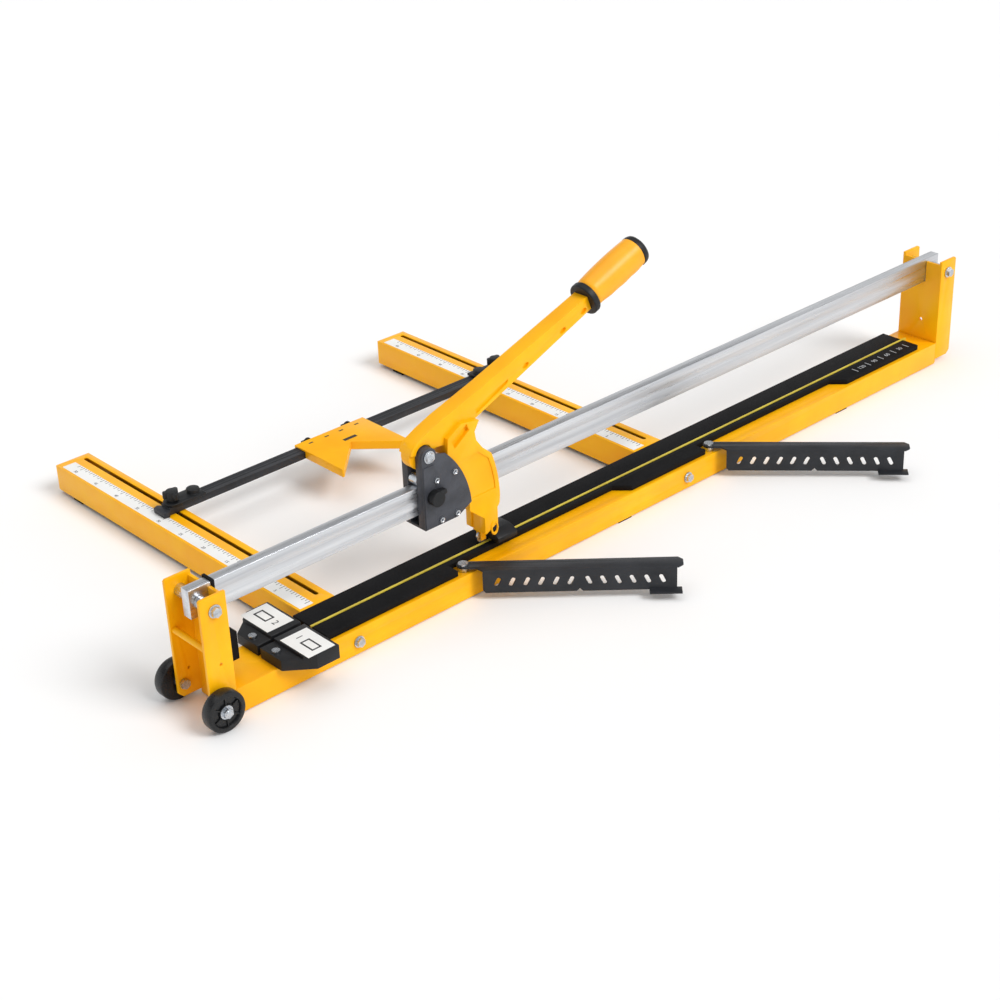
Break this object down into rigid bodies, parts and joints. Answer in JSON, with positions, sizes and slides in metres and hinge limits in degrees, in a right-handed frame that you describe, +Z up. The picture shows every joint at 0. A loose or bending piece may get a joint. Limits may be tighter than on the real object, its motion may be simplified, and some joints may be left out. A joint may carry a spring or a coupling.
{
  "type": "manual tile cutter",
  "caption": "Manual tile cutter: a carriage with a lever rolls on a rail above padded base, with rear arms, a sliding fence and folding side supports.",
  "frame": {"origin": "on the floor, below the middle of the whole object's box", "axes": "+X along the rail away from the transport wheels, +Y towards the rear arms, +Z up"},
  "size_m": [1.3876, 0.8202, 0.3726],
  "materials": {
    "yellow_paint": "glossy amber powder coat",
    "yellow_grip": "moulded amber plastic",
    "ridge_paint": "dull yellow paint",
    "black_paint": "black powder coat",
    "dark_casting": "dark grey painted casting",
    "rubber": "black rubber",
    "black_plastic": "moulded black plastic",
    "aluminium": "extruded, lightly brushed",
    "zinc_steel": "zinc plated"
  },
  "bodies": {
    "frame": {"base_beam": "yellow_paint", "breaking_ridge": "ridge_paint", "back_pad": "rubber", "front_pad": "rubber", "base_foot_middle": "rubber", "base_foot_right": "rubber", "left_bracket": "yellow_paint", "right_bracket": "yellow_paint", "carry_bar": "yellow_paint", "guide_rail": "aluminium", "rail_bolt_left": "zinc_steel", "rail_bolt_right": "zinc_steel", "rail_spacer_left_front": "zinc_steel", "rail_spacer_left_back": "zinc_steel", "rail_spacer_right_front": "zinc_steel", "rail_spacer_right_back": "zinc_steel", "rail_ring": "rubber", "end_buffer": "rubber", "stop_block_front": "black_plastic", "stop_block_back": "black_plastic", "stop_screw_front": "zinc_steel", "stop_screw_back": "zinc_steel", "wheel_axle_front": "zinc_steel", "wheel_axle_back": "zinc_steel", "left_rear_arm": "yellow_paint", "right_rear_arm": "yellow_paint", "left_arm_bolt": "zinc_steel", "right_arm_bolt": "zinc_steel", "left_arm_foot": "rubber", "right_arm_foot": "rubber", "left_side_arm_bolt": "zinc_steel", "right_side_arm_bolt": "zinc_steel"},
    "wheel_front": {"wheel_front": "black_plastic"},
    "wheel_back": {"wheel_back": "black_plastic"},
    "left_side_arm": {"left_side_arm": "black_paint"},
    "right_side_arm": {"right_side_arm": "black_paint"},
    "fence": {"fence_bar": "black_paint", "fence_clamp_left": "black_plastic", "fence_clamp_right": "black_plastic", "clamp_nut_left": "zinc_steel", "clamp_nut_right": "zinc_steel"},
    "fence_knob_left": {"fence_knob_left": "black_plastic"},
    "fence_knob_right": {"fence_knob_right": "black_plastic"},
    "angle_stop": {"angle_stop": "yellow_paint"},
    "stop_screw_left": {"stop_screw_left": "black_plastic"},
    "stop_screw_right": {"stop_screw_right": "black_plastic"},
    "carriage": {"carriage_body": "dark_casting", "carriage_cover": "dark_casting", "pivot_bolt": "zinc_steel"},
    "roller_top_left": {"roller_top_left": "zinc_steel"},
    "roller_top_right": {"roller_top_right": "zinc_steel"},
    "roller_below": {"roller_below": "zinc_steel"},
    "adjusting_knob": {"adjusting_knob": "black_plastic"},
    "lever": {"lever": "yellow_paint", "grip": "yellow_grip", "grip_collar": "black_plastic", "wheel_holder": "yellow_paint", "foot_pin": "zinc_steel"},
    "scoring_wheel": {"scoring_wheel": "zinc_steel"},
    "breaking_foot": {"breaking_foot": "black_plastic"}
  },
  "joints": [
    {"name": "carriage_slide", "type": "slide", "parent": "frame", "child": "carriage", "axis": [1, 0, 0], "range_m": [-0.245, 0.82]},
    {"name": "lever_swing", "type": "hinge", "parent": "carriage", "child": "lever", "pos_m": [-0.3312, -0.17287, 0.206], "axis": [0, -1, 0], "range_deg": [0, 13]},
    {"name": "scoring_wheel_spin", "type": "hinge", "parent": "lever", "child": "scoring_wheel", "pos_m": [-0.2377, -0.17287, 0.0535], "axis": [0, 1, 0], "continuous": true},
    {"name": "foot_rock", "type": "hinge", "parent": "lever", "child": "breaking_foot", "pos_m": [-0.2209, -0.17287, 0.08], "axis": [1, 0, 0], "range_deg": [-4, 4]},
    {"name": "roller_top_left_spin", "type": "hinge", "parent": "carriage", "child": "roller_top_left", "pos_m": [-0.3342, -0.17287, 0.1717], "axis": [0, 1, 0], "range_deg": [-1800, 5900]},
    {"name": "roller_top_right_spin", "type": "hinge", "parent": "carriage", "child": "roller_top_right", "pos_m": [-0.3092, -0.17287, 0.1717], "axis": [0, 1, 0], "range_deg": [-1800, 5900]},
    {"name": "roller_below_spin", "type": "hinge", "parent": "carriage", "child": "roller_below", "pos_m": [-0.3212, -0.17287, 0.1202], "axis": [0, 1, 0], "range_deg": [-7300, 2200]},
    {"name": "adjusting_knob_turn", "type": "hinge", "parent": "carriage", "child": "adjusting_knob", "pos_m": [-0.3282, -0.19317, 0.152], "axis": [0, 1, 0], "range_deg": [-60, 120]},
    {"name": "wheel_front_spin", "type": "hinge", "parent": "frame", "child": "wheel_front", "pos_m": [-0.6683, -0.21962, 0.0255], "axis": [0, 1, 0], "continuous": true},
    {"name": "wheel_back_spin", "type": "hinge", "parent": "frame", "child": "wheel_back", "pos_m": [-0.6683, -0.12612, 0.0255], "axis": [0, 1, 0], "continuous": true},
    {"name": "left_side_arm_swing", "type": "hinge", "parent": "frame", "child": "left_side_arm", "pos_m": [-0.28916, -0.19537, 0.0415], "axis": [0, 0, 1], "range_deg": [-46.5, 43.5]},
    {"name": "right_side_arm_swing", "type": "hinge", "parent": "frame", "child": "right_side_arm", "pos_m": [0.16077, -0.19537, 0.0415], "axis": [0, 0, 1], "range_deg": [-43, 47]},
    {"name": "fence_slide", "type": "slide", "parent": "frame", "child": "fence", "axis": [0, 1, 0], "range_m": [-0.225, 0.21]},
    {"name": "fence_knob_left_turn", "type": "hinge", "parent": "fence", "child": "fence_knob_left", "pos_m": [-0.45746, 0.18313, 0.0576], "axis": [0, 0, 1], "range_deg": [0, 270]},
    {"name": "fence_knob_right_turn", "type": "hinge", "parent": "fence", "child": "fence_knob_right", "pos_m": [0.11402, 0.18313, 0.0576], "axis": [0, 0, 1], "range_deg": [0, 270]},
    {"name": "angle_stop_slide", "type": "slide", "parent": "fence", "child": "angle_stop", "axis": [1, 0, 0], "range_m": [-0.16, 0.195]},
    {"name": "stop_screw_left_turn", "type": "hinge", "parent": "angle_stop", "child": "stop_screw_left", "pos_m": [-0.2232, 0.19613, 0.04975], "axis": [0, 1, 0], "range_deg": [0, 270]},
    {"name": "stop_screw_right_turn", "type": "hinge", "parent": "angle_stop", "child": "stop_screw_right", "pos_m": [-0.1532, 0.19613, 0.04975], "axis": [0, 1, 0], "range_deg": [0, 270]}
  ],
  "couplings": [
    {"joint": "roller_top_left_spin", "follows": "carriage_slide", "rad_per_m": 125},
    {"joint": "roller_top_right_spin", "follows": "carriage_slide", "rad_per_m": 125},
    {"joint": "roller_below_spin", "follows": "carriage_slide", "rad_per_m": -153.85}
  ]
}
